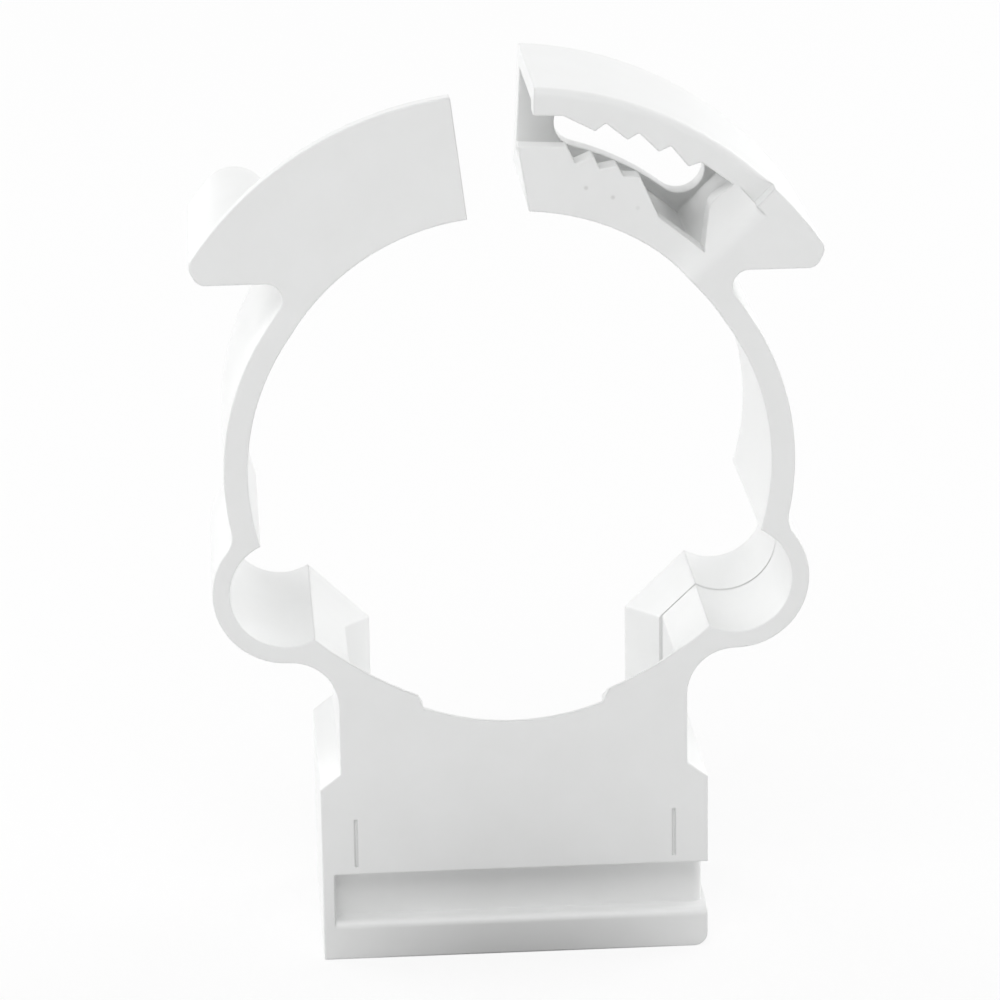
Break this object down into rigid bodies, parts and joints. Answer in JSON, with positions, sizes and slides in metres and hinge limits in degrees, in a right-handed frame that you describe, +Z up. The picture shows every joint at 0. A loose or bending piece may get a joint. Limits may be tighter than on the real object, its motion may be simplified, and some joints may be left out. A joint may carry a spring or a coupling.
{
  "type": "pipe clip",
  "caption": "One-piece plastic pipe clip: hollow base with a mounting groove and pipe seat, sprung hinge loops, and arms that lock by a toothed tongue and mouth.",
  "frame": {"origin": "middle of the foot's underside", "axes": "+Z up from the foot to the arms, Y along the pipe with the front face at -Y, X across the clip"},
  "size_m": [0.0624, 0.024, 0.0898],
  "materials": {
    "white_plastic": "satin"
  },
  "bodies": {
    "root": {"pipe_clip": "white_plastic"}
  },
  "joints": []
}
